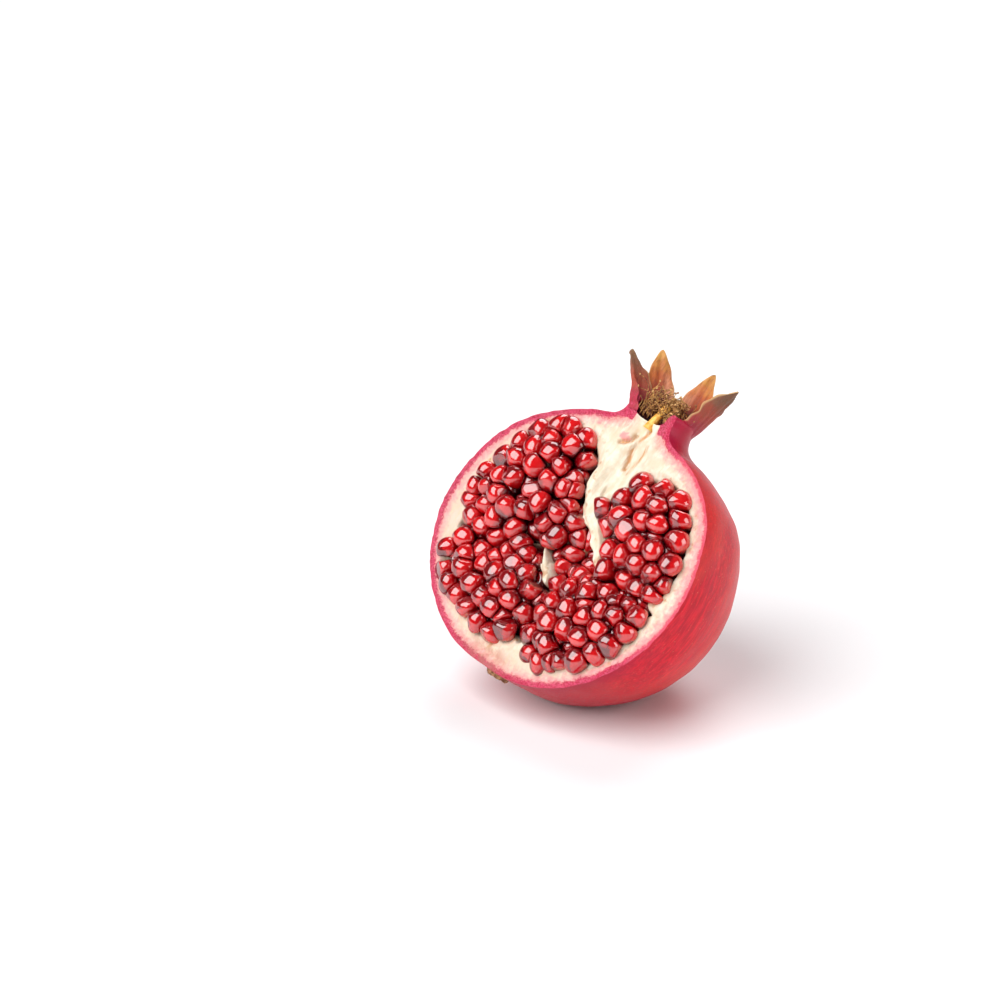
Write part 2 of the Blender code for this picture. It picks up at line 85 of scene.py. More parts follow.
def buildMesh(name, verts, faces, materials, values=None, indices=None):
    # verts in mm in the fruit's own frame; values are named numbers or vectors kept on the points
    mesh = bpy.data.meshes.new(name)
    verts = np.asarray(verts, float)
    mesh.from_pydata(verts.tolist(), [], [list(f) for f in faces])
    where = mesh.attributes.new("fruitPos", "FLOAT_VECTOR", "POINT")
    where.data.foreach_set("vector", verts.astype(np.float32).ravel())
    for key, value in (values or {}).items():
        attribute = mesh.attributes.new(key, "FLOAT", "POINT")
        attribute.data.foreach_set("value", np.asarray(value, np.float32))
    for material in materials:
        mesh.materials.append(material)
    if indices is not None:
        mesh.polygons.foreach_set("material_index", np.asarray(indices, np.int32))
    mesh.polygons.foreach_set("use_smooth", np.ones(len(mesh.polygons), bool))
    mesh.transform(poseMatrix)
    mesh.update()
    obj = link(bpy.data.objects.new(name, mesh))
    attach(obj, "root")
    return obj


def gridFaces(rows, columns, closed, first=0):
    faces = []
    last = columns if closed else columns - 1
    for r in range(rows - 1):
        a = first + r * columns
        b = a + columns
        for c in range(last):
            d = (c + 1) % columns
            faces.append((a + c, a + d, b + d, b + c))
    return faces


def tubeFaces(rows, columns, first=0):
    # sides and both ends of a tube of rings
    last = first + (rows - 1) * columns
    ends = [[first + i for i in reversed(range(columns))], [last + i for i in range(columns)]]
    return gridFaces(rows, columns, True, first) + ends


def between(a, b, c, d, t):
    # point between b and c on the smooth line through all four
    return 0.5 * (2 * b + (c - a) * t + (2 * a - 5 * b + 4 * c - d) * t * t
                  + (3 * b - a - 3 * c + d) * t ** 3)


def closedCurve(points, parts):
    # smooth closed line through the given points
    pts = np.array(points, float)
    corners = [np.roll(pts, shift, 0) for shift in (1, 0, -1, -2)]
    return np.stack([between(*corners, s / parts) for s in range(parts)], 1).reshape(-1, 2)


def footOnEdge(points, a, b):
    # nearest point of an edge, its place from 0 at a to 1 at b, and how far away it is
    edge = b - a
    t = np.clip(((points - a) @ edge) / max(edge @ edge, 1e-12), 0, 1)
    foot = a + t[:, None] * edge
    gap = points - foot
    return foot, t, np.hypot(gap[:, 0], gap[:, 1])


def insideDepth(points, outline):
    # distance to the outline, positive inside
    points = np.atleast_2d(points)
    best = np.full(len(points), 1e9)
    inside = np.zeros(len(points), bool)
    for a, b in zip(outline, np.roll(outline, -1, 0)):
        best = np.minimum(best, footOnEdge(points, a, b)[2])
        if a[1] != b[1]:
            cross = (a[1] > points[:, 1]) != (b[1] > points[:, 1])
            at = (b[0] - a[0]) * (points[:, 1] - a[1]) / (b[1] - a[1]) + a[0]
            inside ^= cross & (points[:, 0] < at)
    return np.where(inside, best, -best)


def lineDistance(points, line):
    line = np.array(line, float)
    return np.min([footOnEdge(points, a, b)[2] for a, b in zip(line, line[1:])], 0)


def wallGap(points, wall):
    # distance from the wall's face, negative inside it, and the foot on its middle line
    line, halves = np.array(wall[0], float), wall[1]
    best = np.full(len(points), 1e9)
    feet = np.zeros((len(points), 2))
    for a, b, wideA, wideB in zip(line, line[1:], halves, halves[1:]):
        foot, t, away = footOnEdge(points, a, b)
        away = away - (wideA * (1 - t) + wideB * t)
        nearer = away < best
        best = np.where(nearer, away, best)
        feet = np.where(nearer[:, None], foot, feet)
    return best, feet


# shader building blocks

class Nodes:
    # short calls for wiring a node tree
    def __init__(self, tree, material=None):
        self.tree = tree
        self.material = material
        self.shader = tree.nodes.get("Principled BSDF")

    def add(self, kind, sockets=(), **settings):
        node = self.tree.nodes.new(kind)
        for key, value in settings.items():
            setattr(node, key, value)
        for key, value in dict(sockets).items():
            self.feed(node.inputs[key], value)
        return node

    def join(self, source, target):
        self.tree.links.new(source, target)

    def feed(self, socket, value):
        if isinstance(value, (int, float, tuple)):
            socket.default_value = value
        else:
            self.join(value, socket)

    def math(self, operation, *values):
        return self.add("ShaderNodeMath", enumerate(values), operation=operation).outputs[0]

    def times(self, a, b):
        return self.math("MULTIPLY", a, b)

    def plus(self, start, value, factor):
        return self.math("MULTIPLY_ADD", value, factor, start)

    def wander(self, value, noise, amount, middle=0.5):
        # the value goes up and down with a noise
        return self.plus(value, self.math("SUBTRACT", noise, middle), amount)

    def range(self, value, low, high):
        sockets = enumerate((value, low, high))
        return self.add("ShaderNodeMapRange", sockets, interpolation_type="SMOOTHSTEP").outputs[0]

    def mix(self, factor, a, b):
        a, b = ((*v, 1.0) if isinstance(v, tuple) else v for v in (a, b))
        return self.add("ShaderNodeMix", {0: factor, 6: a, 7: b}, data_type="RGBA").outputs[2]

    def layers(self, base, coats):
        # every coat is a mask, its strength and a colour
        for mask, strength, over in coats:
            base = self.mix(mask if strength == 1.0 else self.times(mask, strength), base, over)
        return base

    def noise(self, coord, scale, detail=4.0, rough=0.5, distort=0.0):
        sockets = {"Vector": coord, "Scale": scale, "Detail": detail,
                   "Roughness": rough, "Distortion": distort}
        return self.add("ShaderNodeTexNoise", sockets).outputs["Fac"]

    def value(self, name, output="Fac"):
        return self.add("ShaderNodeAttribute", attribute_name=name).outputs[output]

    def place(self, scale=(1.0, 1.0, 1.0)):
        sockets = {"Vector": self.value("fruitPos", "Vector"), "Scale": scale}
        return self.add("ShaderNodeMapping", sockets).outputs["Vector"]

    def paint(self, base, rough, height, strength, distance):
        # joins colour, roughness and bump to the shader; no rough leaves it one plain value
        bump = self.add("ShaderNodeBump", {"Height": height, "Strength": strength, "Distance": distance})
        self.join(bump.outputs["Normal"], self.shader.inputs["Normal"])
        self.join(base, self.shader.inputs["Base Color"])
        if rough is not None:
            self.join(rough, self.shader.inputs["Roughness"])
        return self.material


def newMaterial(name, settings):
    material = bpy.data.materials.new(name)
    material.use_nodes = True
    n = Nodes(material.node_tree, material)
    for key, value in settings.items():
        n.shader.inputs[key].default_value = value
    return n


# shared effect: fine mottling that wanders between two tints, with a height to go with it
def mottleGroup():
    tree = bpy.data.node_groups.new("fruitMottle", "ShaderNodeTree")
    for name, kind in (("Place", "Vector"), ("Coarse", "Float"), ("Fine", "Float")):
        tree.interface.new_socket(name, in_out="INPUT", socket_type="NodeSocket" + kind)
    for name in ("Patches", "Grain", "Height"):
        tree.interface.new_socket(name, in_out="OUTPUT", socket_type="NodeSocketFloat")
    n = Nodes(tree)
    start = n.add("NodeGroupInput")
    end = n.add("NodeGroupOutput")
    coarse, fine = (n.noise(start.outputs["Place"], start.outputs[key], detail, 0.55)
                    for key, detail in (("Coarse", 3.0), ("Fine", 5.0)))
    n.join(n.range(coarse, 0.35, 0.65), end.inputs["Patches"])
    n.join(n.range(fine, 0.3, 0.7), end.inputs["Grain"])
    n.join(n.plus(coarse, fine, 0.4), end.inputs["Height"])
    return tree


fruitMottle = mottleGroup()


def addMottle(n, place, coarse, fine):
    sockets = {"Place": place, "Coarse": coarse, "Fine": fine}
    return n.add("ShaderNodeGroup", sockets, node_tree=fruitMottle).outputs


# materials

def skinMaterial():
    # glossy red skin: lengthwise streaks, orange and pale flecks, darker towards the cut, and painted shade
    # darkening it towards the bottom
    n = newMaterial("pomegranateSkin", {
        "Roughness": 0.36, "Specular IOR Level": 0.20, "Coat Weight": 0.04, "Coat Roughness": 0.25})
    streaks = n.noise(n.place((1.0, 1.0, 0.13)), 1.05, 6.0, 0.62, 0.25)
    broad = n.noise(n.place((1.0, 1.0, 0.35)), 0.055, 3.0, 0.5, 0.4)
    flecks = n.noise(n.place((1.0, 1.0, 0.7)), 1.9, 2.0, 0.4)
    mottle = addMottle(n, n.place(), 0.16, 2.2)
    base = n.mix(n.range(streaks, 0.36, 0.66), (0.50, 0.003, 0.014), (0.80, 0.013, 0.030))
    base = n.layers(base, [
        (n.range(broad, 0.42, 0.64), 0.55, (0.76, 0.060, 0.045)),
        (mottle["Patches"], 0.30, (0.46, 0.010, 0.035)),
        (n.range(flecks, 0.66, 0.74), 0.45, (0.74, 0.22, 0.13)),
        (n.range(n.value("rimNear"), 0.0, 1.0), 0.75, (0.42, 0.004, 0.040)),
        (n.value("crownNear"), 0.6, (0.36, 0.012, 0.05)),
        # painted shade: the skin darkens towards the bottom of the fruit
        (n.value("paintedShadeBelow"), 0.5, (0.28, 0.006, 0.026))])
    rough = n.plus(n.plus(0.30, mottle["Grain"], 0.12), n.range(streaks, 0.3, 0.7), 0.08)
    return n.paint(base, rough, n.plus(mottle["Height"], streaks, 0.35), 0.22, 0.0004)


def pithMaterial():
    # cut face: magenta skin edge, blushed and stained spongy pith with painted shade in the folds below the
    # crown, juice in the chambers
    n = newMaterial("pomegranatePith", {
        "Roughness": 0.5, "Specular IOR Level": 0.4, "Subsurface Weight": 0.12,
        "Subsurface Radius": (1.0, 0.5, 0.35), "Subsurface Scale": 0.0012})
    place = n.place()
    mottle = addMottle(n, place, 0.22, 1.5)
    fibres = n.noise(n.place((1.0, 0.6, 0.22)), 1.0, 5.0, 0.6, 0.6)
    ragged = n.noise(place, 0.62, 5.0, 0.62, 0.3)
    speck = n.noise(place, 2.4, 3.0, 0.6)
    stains = n.range(n.noise(place, 0.33, 3.0, 0.5), 0.56, 0.68)
    rim = n.value("rimDistance")
    browned = n.times(n.value("stemStain"), n.range(mottle["Height"], 0.45, 0.85))
    juice = n.range(n.wander(n.value("chamberDepth"), ragged, 1.6), 1.6, 5.0)
    pulp = n.mix(mottle["Patches"], (0.72, 0.61, 0.46), (0.82, 0.76, 0.63))
    pulp = n.layers(pulp, [
        (n.value("outerBlush"), 0.75, (0.74, 0.50, 0.40)),
        (n.range(fibres, 0.4, 0.65), 0.45, (0.76, 0.56, 0.35)),
        # pink that fades in from the skin, up the neck and in the bruise below the crown
        (n.range(n.wander(rim, ragged, 7.0), 5.2, 1.4), 1.0, (0.76, 0.30, 0.30)),
        (n.value("neckBlush"), n.range(fibres, 0.30, 0.62), (0.76, 0.30, 0.26)),
        (n.range(n.wander(n.value("bruise"), ragged, 1.6), 0.30, 0.80), 0.85, (0.84, 0.27, 0.28)),
        # tan in the folds and cracks: brown stain in the cracks, painted shade in the folds
        (n.value("crease"), n.range(fibres, 0.30, 0.60), (0.56, 0.26, 0.10)),
        (browned, 0.8, (0.50, 0.20, 0.14)),
        # tan stains along the lips of the chambers, and juice that runs over them and pools below
        (n.times(stains, n.range(n.value("lipDistance"), 3.5, 0.3)), 0.7, (0.50, 0.24, 0.09)),
        (juice, 1.0, (0.40, 0.02, 0.03))])
    # the cut skin
    edge = n.wander(n.wander(rim, ragged, 2.6), speck, 1.6)
    edge = n.plus(n.plus(edge, n.value("neckSkin"), -6.0), n.value("shoulder"), 0.75)
    skinEdge = n.mix(n.range(speck, 0.38, 0.62), (0.40, 0.006, 0.036), (0.62, 0.050, 0.13))
    skinEdge = n.layers(skinEdge, [(n.value("shoulder"), 0.75, (0.70, 0.07, 0.12)),
                                   (browned, 0.9, (0.40, 0.12, 0.10))])
    rough = n.plus(n.plus(0.42, mottle["Grain"], 0.14), juice, -0.25)
    height = n.math("ADD", n.times(fibres, 0.8), mottle["Height"])
    return n.paint(n.mix(n.range(edge, 2.3, 1.3), pulp, skinEdge), rough, height, 0.45, 0.0007)


def lobeMaterial():
    # crown lobe: crimson root, rust inner face with a painted highlight on one half, grey-brown dry tip,
    # pale cut edge
    n = newMaterial("crownLobe", {"Roughness": 0.5})
    across = n.value("across")
    veins = n.noise(n.place((1.0, 1.0, 0.16)), 1.3, 5.0, 0.65, 0.3)
    mottle = addMottle(n, n.place(), 0.35, 2.6)
    reach = n.wander(n.value("along"), mottle["Height"], 0.40, 0.7)
    outer = n.mix(n.range(reach, 0.20, 0.55), (0.40, 0.006, 0.040), (0.40, 0.050, 0.020))
    outer = n.mix(n.range(reach, 0.46, 0.90), outer, (0.18, 0.085, 0.040))
    # painted highlight: one half of the inner face paler, towards the root
    pale = n.times(n.range(across, 0.0, 0.5), n.range(reach, 0.9, 0.4))
    spine = n.times(n.range(n.math("ABSOLUTE", across), 0.80, 0.0), n.range(reach, 0.92, 0.36))
    inside = n.mix(n.range(reach, 0.12, 0.60), (0.32, 0.014, 0.012), (0.56, 0.13, 0.016))
    inside = n.layers(inside, [(n.range(reach, 0.66, 1.0), 1.0, (0.62, 0.30, 0.060)),
                               (pale, 0.75, (0.86, 0.42, 0.25)),
                               (spine, 0.9, (0.28, 0.008, 0.010))])
    both = n.layers(n.mix(n.value("inner"), outer, inside), [
        (n.range(reach, 0.34, 0.10), 1.0, (0.42, 0.010, 0.040)),
        (n.range(veins, 0.45, 0.7), 0.50, (0.20, 0.03, 0.015)),
        (n.range(n.value("border"), 0.88, 0.99), 0.7, (0.72, 0.46, 0.20))])
    height = n.math("ADD", n.times(veins, 1.2), mottle["Height"])
    return n.paint(both, n.plus(0.40, mottle["Grain"], 0.25), height, 0.5, 0.0006)


def arilMaterial():
    # juicy seed coat: dark red with a painted bright heart where light would gather, and painted shade,
    # near black, down its sides
    n = newMaterial("arilJuice", {
        "Roughness": 0.05, "IOR": 1.7, "Specular IOR Level": 0.8, "Transmission Weight": 0.30,
        "Coat Weight": 0.7, "Coat Roughness": 0.03})
    tone = n.value("tone")
    cloud = n.noise(n.place(), 0.42, 3.0, 0.5, 0.4)
    # painted light: the bright heart mixed into the red
    paintedLightSpot = n.range(n.wander(n.value("paintedLight"), cloud, 1.3), 0.25, 0.70)
    edge = n.wander(n.value("along"), cloud, 0.5)
    dark = n.mix(tone, (0.18, 0.001, 0.004), (0.46, 0.002, 0.007))
    paintedLitRed = n.mix(tone, (0.72, 0.002, 0.007), (1.0, 0.008, 0.012))
    red = n.layers(n.mix(paintedLightSpot, dark, paintedLitRed), [
        (n.range(cloud, 0.50, 0.68), 0.35, (1.0, 0.05, 0.05)),
        # painted shade: near black down the sides of each drop and on the deeper layer
        (n.range(edge, 0.62, 0.22), 1.0, (0.16, 0.0, 0.003)),
        (n.range(edge, 0.30, -0.05), 1.0, (0.05, 0.0, 0.002))])
    return n.paint(red, None, n.noise(n.place(), 0.55, 2.0, 0.5), 0.10, 0.0006)


def seedMaterial():
    n = newMaterial("arilSeed", {"Roughness": 0.4})
    grain = n.noise(n.place(), 1.4, 3.0, 0.6)
    pale = n.mix(n.range(grain, 0.35, 0.65), (0.95, 0.62, 0.50), (1.0, 0.82, 0.70))
    return n.paint(pale, None, grain, 0.3, 0.0003)


def threadMaterial(name, low, high, rough):
    n = newMaterial(name, {"Roughness": rough})
    mottle = addMottle(n, n.place(), 0.9, 5.0)
    uneven = n.plus(rough - 0.1, mottle["Grain"], 0.2)
    return n.paint(n.mix(mottle["Patches"], low, high), uneven, mottle["Height"], 0.5, 0.0002)


skin = skinMaterial()
pith = pithMaterial()
lobeSkin = lobeMaterial()
arilJuice = arilMaterial()
arilSeed = seedMaterial()
filament = threadMaterial("driedFilament", (0.09, 0.016, 0.010), (0.60, 0.30, 0.08), 0.6)
anther = threadMaterial("anther", (0.30, 0.11, 0.03), (0.78, 0.48, 0.18), 0.8)
cupLining = threadMaterial("cupLining", (0.06, 0.006, 0.010), (0.24, 0.03, 0.025), 0.6)
stylePulp = threadMaterial("styleStalk", (0.80, 0.34, 0.04), (0.95, 0.60, 0.14), 0.5)
stemWood = threadMaterial("stemScar", (0.15, 0.055, 0.022), (0.45, 0.23, 0.10), 0.85)
print("materials made")


# rind

# the body's shape in mm: centre, radius and half height, and where the crown stands
body = {"centre": (-5.2, 9.0, -1.0), "radius": 47.3, "halfHeight": 42.4, "crown": (-2.4, 5.5),
        "columns": 520, "rows": 210, "dents": 0.22,
        "neck": [(15.6, 39.0), (13.2, 39.9), (11.6, 41.2), (10.7, 43.0), (10.4, 45.0), (10.5, 46.6),
                 (9.9, 47.6), (8.9, 47.4), (8.3, 46.0), (8.0, 44.2), (6.8, 42.8), (4.0, 42.2), (0.4, 42.1)]}

# seed chambers on the cut face, x and z in mm
chambers = {
    "upper": [(-27, 31), (-18, 33), (-12, 29.5), (-7.5, 24), (-7, 18), (-5, 13), (-2.5, 9),
        (-3, 3), (-7, -2.5), (-17, -8.2), (-26, -10.6), (-36.5, -9.3), (-42.5, -5.5),
        (-45, -1.5), (-43.6, 4), (-43.2, 9.5), (-41.3, 16.5), (-37.6, 22.6), (-32.5, 27.6)],
    "left": [(-12, -7.4), (-9, -6.8), (-1.5, -13), (0.4, -19), (-0.1, -25), (-1.5, -30.5),
        (-6.5, -35), (-13, -34.8), (-20, -33), (-27.5, -30), (-35.6, -25.6),
        (-39.6, -20.5), (-40.5, -14), (-37, -11.4), (-26, -12.8), (-17.5, -10.2)],
    "right": [(14, 30.8), (21.5, 31), (27.5, 27.6), (31.5, 23.5), (34.2, 17.5), (36, 11),
        (36.4, 5), (35, -0.4), (28, -1.2), (16, -0.6), (11, 2), (9, 5.5), (5, 8.5),
        (0.6, 12.5), (0.5, 17), (5, 21.5), (6.2, 25.5), (9, 29)],
    "lower": [(8, -6), (11, -3.4), (17, -2.9), (27, -3.3), (34.4, -3.2), (35, -8), (33.6, -14),
        (31.5, -19), (28.5, -23.6), (24.5, -27.4), (19.5, -30.4), (13.5, -32.2),
        (7, -33), (3, -31), (1.4, -25), (1.9, -19), (2.9, -13)],
    "middle": [(-1.2, 9.6), (2.6, 8), (6.9, 4.6), (9.2, 0.8), (7.2, -4.4), (3.2, -9.6), (0.6, -12.2),
        (-1.2, -11.6), (-7.2, -6.2), (-5.9, -3.4), (-1.7, 2.6)],
}
# walls that the arils lean over, as lines
lowWalls = [
    [(-38, -10.3), (-26, -11.8), (-17, -9.2), (-9, -5)],
    [(-3.6, -31), (0.6, -25), (1.1, -19), (0.6, -14.5)],
    [(32.6, -1.9), (24, -2.2), (15, -1.6), (10.2, -0.4)],
    [(-7.6, -4.6), (-3.4, -0.6), (-2.2, 4.4)],
    [(0.6, -12.6), (5, -6.6), (8.2, -2)],
]
# walls that stand in sight between the arils: line and half width
standingWalls = [
    ([(-4.8, 29.7), (-5.6, 24.3), (-5.4, 19.2), (-3.6, 14.8), (-1.0, 11.1), (4.4, 6.8), (8.3, 1.6),
      (10.8, -1.0)],
     [3.4, 3.4, 3.0, 2.6, 2.2, 1.9, 1.6, 0.7]),
    ([(-9.2, -4.0), (-7.2, -6.4), (-4.6, -9.2), (-2.2, -12.4)], [0.1, 0.7, 1.5, 0.7]),
]
outlines = {name: closedCurve(points, 3) for name, points in chambers.items()}


def bodyRing(polar, around):
    s, c = sin(polar), cos(polar)
    *centre, cz = body["centre"]
    blend = float(smooth((radians(62) - polar) / radians(44)))
    cx, cy = (a * (1 - blend) + b * blend for a, b in zip(centre, body["crown"]))
    facets = 0.011 * np.cos(5 * around + 0.9) * s * s
    facets += 0.006 * np.cos(3 * around - 1.1 + 2.2 * c) * s
    shoulder = 0.055 * exp(-((polar - radians(50)) / radians(20)) ** 2)
    shoulder = shoulder * np.maximum(0.0, np.cos(around + 0.1)) ** 2
    hollow = 1.8 * exp(-((pi - polar) / radians(11)) ** 2)
    k = 1 + facets + shoulder
    r = body["radius"] * s * k
    return np.stack([cx + r * np.cos(around), cy + r * np.sin(around),
                     cz + body["halfHeight"] * c * (1 + shoulder) + hollow], 1)


def neckRing(radius, z, around):
    r = radius + max(0.0, (z - 43.0) / 4.0) * 0.25 * np.cos(6 * around + 0.5)
    x, y = body["crown"]
    return np.stack([x + r * np.cos(around), y + r * np.sin(around), np.full_like(around, z)], 1)


def skinRings():
    around = np.linspace(0, 2 * pi, body["columns"], endpoint=False)
    low, high = radians(178.8), radians(23)
    rings = [bodyRing(p, around) for p in np.linspace(low, high, body["rows"])]
    keys = [bodyRing(radians(27), around), rings[-1]]
    keys += [neckRing(r, z, around) for r, z in body["neck"]]
    keys.append(2 * keys[-1] - keys[-2])
    for four in zip(keys, keys[1:], keys[2:], keys[3:]):
        rings += [between(*four, step / 6) for step in range(1, 7)]
    return rings


def edgeRipple(points):
    # the cut wanders a little where the knife left the skin
    away = np.exp(-(points[:, 1] / 1.6) ** 2)
    return away * (0.28 * waves(points, 5, 7.0) + 0.14 * waves(points, 6, 2.2))


def makeRind():
    rings = skinRings()
    points = np.concatenate(rings)
    outward = points - body["centre"]
    outward /= np.linalg.norm(outward, axis=1)[:, None]
    calm = smooth((40 - points[:, 2]) / 6)
    dents = waves(points, 3, 26) + 0.35 * waves(points, 4, 9)
    points = points + outward * (dents * calm * body["dents"])[:, None]
    # the resting spot stays flat
    frameZ = (np.c_[points, np.ones(len(points))] @ np.array(poseMatrix).T)[:, 2]
    lift = np.maximum(0.0, -frameZ) * 1000
    up = np.array((poseMatrix.to_3x3().inverted() @ Vector((0, 0, 0.001))).normalized())
    points = points + up[None, :] * lift[:, None]

    bm = bmesh.new()
    verts = [bm.verts.new(p) for p in points]
    for f in tubeFaces(len(rings), body["columns"]):
        bm.faces.new([verts[i] for i in f])
    bmesh.ops.bisect_plane(bm, geom=list(bm.verts) + list(bm.edges) + list(bm.faces), dist=1e-5,
                           plane_co=(0, 0, 0), plane_no=(0, 1, 0), clear_inner=True)
    loose = [v for v in bm.verts if not v.link_faces]
    bmesh.ops.delete(bm, geom=loose, context="VERTS")
    bm.verts.index_update()
    rimEdges = [e for e in bm.edges if len(e.link_faces) == 1]
    following = {}
    for e in rimEdges:
        for v in e.verts:
            following.setdefault(v, []).append(e.other_vert(v))
    start = rimEdges[0].verts[0]
    loop, before, here = [start], None, start
    while True:
        nxt = [v for v in following[here] if v is not before][0]
        if nxt is start:
            break
        loop.append(nxt)
        before, here = here, nxt
    rim = np.array([v.co[:] for v in loop])
    skinPoints = np.array([v.co[:] for v in bm.verts])
    skinFaces = [[v.index for v in f.verts] for f in bm.faces]
    bm.free()
    print("skin", len(skinPoints), "points, rim", len(rim))
    return skinPoints, skinFaces, rim


# the cut face: its middle and the mouths' depth in mm, solid pith at the ends of low walls as x, z
# and size, and the folds and cracks under the crown as line, depth and width of their tan (brown stain in
# the cracks, painted shade in the folds)
cutFace = {"middle": (-4.0, 0.0, -1.0), "rows": 170, "sink": 7.2,
           "patches": [(-3.2, -32.8, 4.4), (34.2, -1.8, 3.6)],
           "creases": [([(0.2, 40.2), (-1.3, 36.4), (-1.9, 33.0), (-0.9, 27.2)], 0.8, 0.9),
                       ([(-6.9, 33.4), (-5.2, 34.0), (-3.9, 35.2), (-3.3, 36.9)], 1.3, 0.7),
                       ([(3.0, 36.0), (2.6, 31.0), (1.0, 26.5)], 0.3, 0.6)]}


def faceRelief(x, z, rim, depths):
    spots = np.stack([x, z], 1)
    flat = np.stack([x, np.zeros_like(x), z], 1)
    height = 0.22 * waves(flat, 21, 16) + 0.10 * waves(flat, 22, 5)
    # folds of the fleshy middle below the crown
    fold = np.exp(-(((x + 1.5) / 11.0) ** 2)) * smooth((z - 14) / 10) * smooth((44 - z) / 5)
    strands = 0.35 * waves(flat, 23, 6, stretch=(1, 1, 0.3))
    height += fold * (0.75 * np.sin(x * 0.62 + 0.9 * np.sin(z * 0.16)) + strands)
    for line, depth, _ in cutFace["creases"]:
        height -= depth * np.exp(-(lineDistance(spots, line) / 0.75) ** 2)
    # pith stands proud round the chambers and hollows towards the skin
    outside = np.max(depths, 0)
    height += 0.45 * np.exp(-((outside + 1.3) / 1.1) ** 2) * smooth(rim / 3)
    height -= 0.55 * np.exp(-((rim - 3.4) / 1.8) ** 2)
    closed = np.ones_like(x)
    blade = lineDistance(spots, standingWalls[1][0])
    slope = 1.6 + 2.6 * smooth((blade - 3) / 4)
    for depth in depths:
        closed *= 1 - smooth((depth - 0.8 + 0.3 * waves(flat, 24, 4)) / slope)
    for line in lowWalls:
        closed *= 1 - 0.9 * smooth((3.8 - lineDistance(spots, line)) / 1.8)
    sink = cutFace["sink"] * (1 - closed)
    for px, pz, size in cutFace["patches"]:
        sink *= 1 - smooth((size - np.hypot((x - px) / 1.2, z - pz)) / 2.0)
    for wall in standingWalls:
        away = wallGap(spots, wall)[0] + 0.35 * waves(flat, 25, 5)
        sink *= smooth((away + 0.1) / 1.1)
        height += 1.2 * smooth((0.5 - away) / 1.2) * smooth((24 - z) / 8)
    return height * smooth(rim / 1.2) - sink * smooth(rim / 1.5)


def shoulder(x, z):
    # 1 on the crown's right, where the skin's edge is thin and bright
    return smooth((x - 9) / 12) * smooth((z + 26) / 22)


def makeCutFace(rim):
    middle = np.array(cutFace["middle"])
    rows = cutFace["rows"]
    size = 1 - (np.arange(rows) / (rows - 1)) ** 1.15 * 0.998
    points = middle + (rim - middle)[None, :, :] * size[:, None, None]
    points = points.reshape(-1, 3)
    tree = kdtree.KDTree(len(rim))
    for i, p in enumerate(rim):
        tree.insert(p, i)
    tree.balance()
    away = np.array([tree.find(p)[2] for p in points])
    x, z = points[:, 0], points[:, 2]
    flat = np.stack([x, z], 1)
    depths = [insideDepth(flat, outline) for outline in outlines.values()]
    height = faceRelief(x, z, away, depths)
    points[:, 1] = -height
    faces = gridFaces(rows, len(rim), True)
    last = (rows - 1) * len(rim)
    faces.append([last + i for i in range(len(rim))])
    cup = smooth((5.4 - np.abs(x + 2.2)) / 1.6) * smooth((z - 36.5) / 2.5)
    creaseTanAndShade = [np.exp(-(lineDistance(flat, line) / wide) ** 2) for line, _, wide in cutFace["creases"]]
    values = {
        "rimDistance": away + 7 * cup,
        "chamberDepth": np.maximum(0.0, -height - 0.6),
        "lipDistance": np.maximum(0.0, -np.max(depths, 0)),
        "outerBlush": smooth((-x - 14) / 26) * smooth((14 - away) / 8) + 0.5 * smooth((-z - 18) / 14),
        "shoulder": shoulder(x, z),
        "neckBlush": smooth((z - 35.5) / 5) * smooth((np.abs(x + 1.4) - 2.2) / 5),
        "crease": np.max(creaseTanAndShade, 0),
        "bruise": np.exp(-((x + 6.2) / 2.4) ** 2 - ((z - 35.4) / 1.5) ** 2),
        "stemStain": np.exp(-((x + 7) / 9.0) ** 2) * smooth((-z - 33.5) / 4),
        "neckSkin": smooth((z - 39.5) / 3.5) * smooth((np.abs(x + 2.2) - 4.4) / 1.6)}
    return points, faces, values


skinPoints, skinFaces, rimLoop = makeRind()
facePoints, faceFaces, faceValues = makeCutFace(rimLoop)
skinPoints[:, 1] += edgeRipple(skinPoints)
facePoints[:, 1] += edgeRipple(np.c_[facePoints[:, 0], faceValues["rimDistance"], facePoints[:, 2]])
thinEdge = shoulder(skinPoints[:, 0], skinPoints[:, 2])
rindSkin = buildMesh("rindSkin", skinPoints, skinFaces, [skin], {
    "rimNear": np.exp(-np.maximum(0.0, skinPoints[:, 1]) / 4.5) * (1 - 0.8 * thinEdge),
    "crownNear": smooth((skinPoints[:, 2] - 37) / 6),
    # painted shade, strongest at the bottom of the fruit
    "paintedShadeBelow": smooth((-skinPoints[:, 2] - 16) / 22)})
rindFace = buildMesh("rindCutFace", facePoints, faceFaces, [pith], faceValues)
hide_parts("rind")
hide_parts("rind")
print("rind made")


# crown lobes

# direction round the crown, tip x and y from the crown's centre, tip z, root width, bow, curl, turn
lobes = {"root": 9.3, "rootZ": 43.2, "thick": 1.35, "rows": 56, "columns": 26,
         "blades": [(198.0, -20.1, -3.3, 58.4, 12.8, 1.5, 0.5, -20.0),
                    (150.0, -15.6, 3.4, 63.0, 12.0, 0.5, 1.0, 0.0),
                    (88.0, 1.9, 8.3, 64.4, 12.0, 1.5, -0.8, 0.0),
                    (25.0, 14.3, 5.3, 63.2, 13.5, 1.5, 0.9, -8.0)]}


